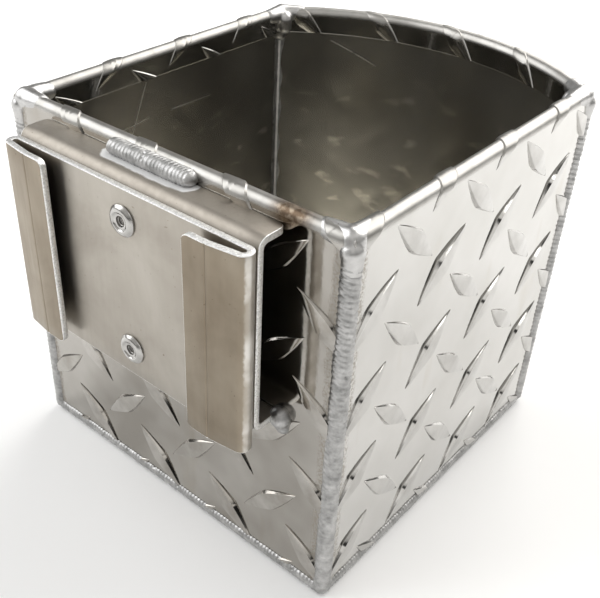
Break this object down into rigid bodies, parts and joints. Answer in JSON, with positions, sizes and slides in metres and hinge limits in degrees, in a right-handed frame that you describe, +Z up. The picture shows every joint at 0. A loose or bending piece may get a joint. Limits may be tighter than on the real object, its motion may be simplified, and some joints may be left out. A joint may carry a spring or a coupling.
{
  "type": "hang-on tread plate box",
  "caption": "Small open-topped box of bright tread plate with a bowed wall, and a stand-off channel with a riveted slide-on clip plate on its flat wall.",
  "frame": {"origin": "on the ground plane, under the middle of the whole object's bounding box", "axes": "+Z up out of the open top, -Y out of the flat wall towards the clip, +Y towards the bowed wall, +X to the right seen from the clip side"},
  "size_m": [0.1294, 0.1678, 0.1262],
  "materials": {
    "tread_sheet": "bright rolled tread sheet, near mirror between the lugs, fine scratches",
    "mill_sheet": "plain mill finish, warm and slightly stained, bright cut edges",
    "weld_bead": "as welded, matt pale grey with ripples",
    "rivet_body": "plain formed rivet, satin",
    "rivet_mandrel": "broken steel stem, dull"
  },
  "bodies": {
    "root": {"bracket_wall": "tread_sheet", "left_wall": "tread_sheet", "right_wall": "tread_sheet", "curved_wall": "tread_sheet", "floor_plate": "tread_sheet", "mount_channel": "mill_sheet", "clip_plate": "mill_sheet", "rivet_body_upper": "rivet_body", "rivet_body_lower": "rivet_body", "rivet_mandrel_upper": "rivet_mandrel", "rivet_mandrel_lower": "rivet_mandrel", "corner_weld_front_left": "weld_bead", "corner_weld_front_right": "weld_bead", "corner_weld_back_left": "weld_bead", "corner_weld_back_right": "weld_bead", "rim_cap_front_left": "weld_bead", "rim_cap_front_right": "weld_bead", "rim_cap_back_left": "weld_bead", "rim_cap_back_right": "weld_bead", "floor_weld_front": "weld_bead", "floor_weld_left": "weld_bead", "floor_weld_right": "weld_bead", "floor_weld_back": "weld_bead", "channel_top_weld": "weld_bead", "channel_tack_left": "weld_bead", "channel_tack_right": "weld_bead"}
  },
  "joints": []
}
